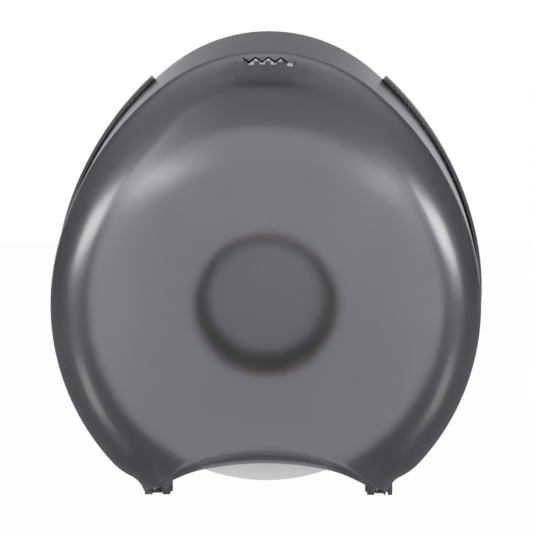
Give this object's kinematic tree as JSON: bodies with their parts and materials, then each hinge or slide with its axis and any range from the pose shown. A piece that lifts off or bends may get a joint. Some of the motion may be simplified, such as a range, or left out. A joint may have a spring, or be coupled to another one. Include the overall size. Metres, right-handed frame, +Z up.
{
  "type": "jumbo toilet roll dispenser",
  "caption": "Wall-mounted dispenser for a jumbo toilet roll, with a translucent smoke cover that swings down on leg hinges, a turning core adapter and a sprung key latch.",
  "frame": {"origin": "centre of the four wall screw holes, on the wall face, in line with the spindle axis", "axes": "+X to the right as seen from the room, +Y into the wall, +Z up"},
  "size_m": [0.2688, 0.143, 0.2933],
  "materials": {
    "smoke_cover": "translucent smoke, satin pearl",
    "black_abs": "moulded black",
    "black_acetal": "matt black",
    "pale_plastic": "moulded pale grey",
    "core_board": "spiral wound board",
    "tissue": "soft white tissue",
    "spring_steel": "spring steel",
    "ward_steel": "stamped steel",
    "pin_steel": "ground steel",
    "zinc_screw": "zinc plated"
  },
  "bodies": {
    "base": {"base_plate": "black_abs", "catch_spring": "spring_steel", "catch_screws": "zinc_screw", "hinge_pin_left": "pin_steel", "hinge_pin_right": "pin_steel", "spindle_post": "pale_plastic", "spindle_screws": "zinc_screw", "spindle_washers": "zinc_screw", "spindle_cap": "pale_plastic"},
    "cover": {"front_cover": "smoke_cover", "keyway_plate": "ward_steel", "keyway_screws": "zinc_screw", "yoke_guide_left": "black_acetal", "yoke_guide_right": "black_acetal", "guide_screws": "zinc_screw", "return_spring_left": "spring_steel", "return_spring_right": "spring_steel"},
    "yoke": {"latch_yoke": "black_acetal"},
    "adapter": {"core_adapter": "pale_plastic"},
    "roll": {"roll_core": "core_board", "tissue_roll": "tissue"}
  },
  "joints": [
    {"name": "cover_hinge", "type": "hinge", "parent": "base", "child": "cover", "pos_m": [0, -0.013, -0.13], "axis": [1, 0, 0], "range_deg": [0, 90], "deforming": ["catch_spring"]},
    {"name": "latch_slide", "type": "slide", "parent": "cover", "child": "yoke", "axis": [0, 0, -1], "range_m": [0, 0.004], "stiffness_N_per_m": 400, "springref_m": -0.002, "deforming": ["return_spring_left", "return_spring_right"]},
    {"name": "roll_spin", "type": "hinge", "parent": "base", "child": "roll", "pos_m": [0, 0, -0.0045], "axis": [0, 1, 0], "continuous": true},
    {"name": "adapter_spin", "type": "hinge", "parent": "base", "child": "adapter", "pos_m": [0, 0, 0], "axis": [0, 1, 0], "continuous": true}
  ]
}
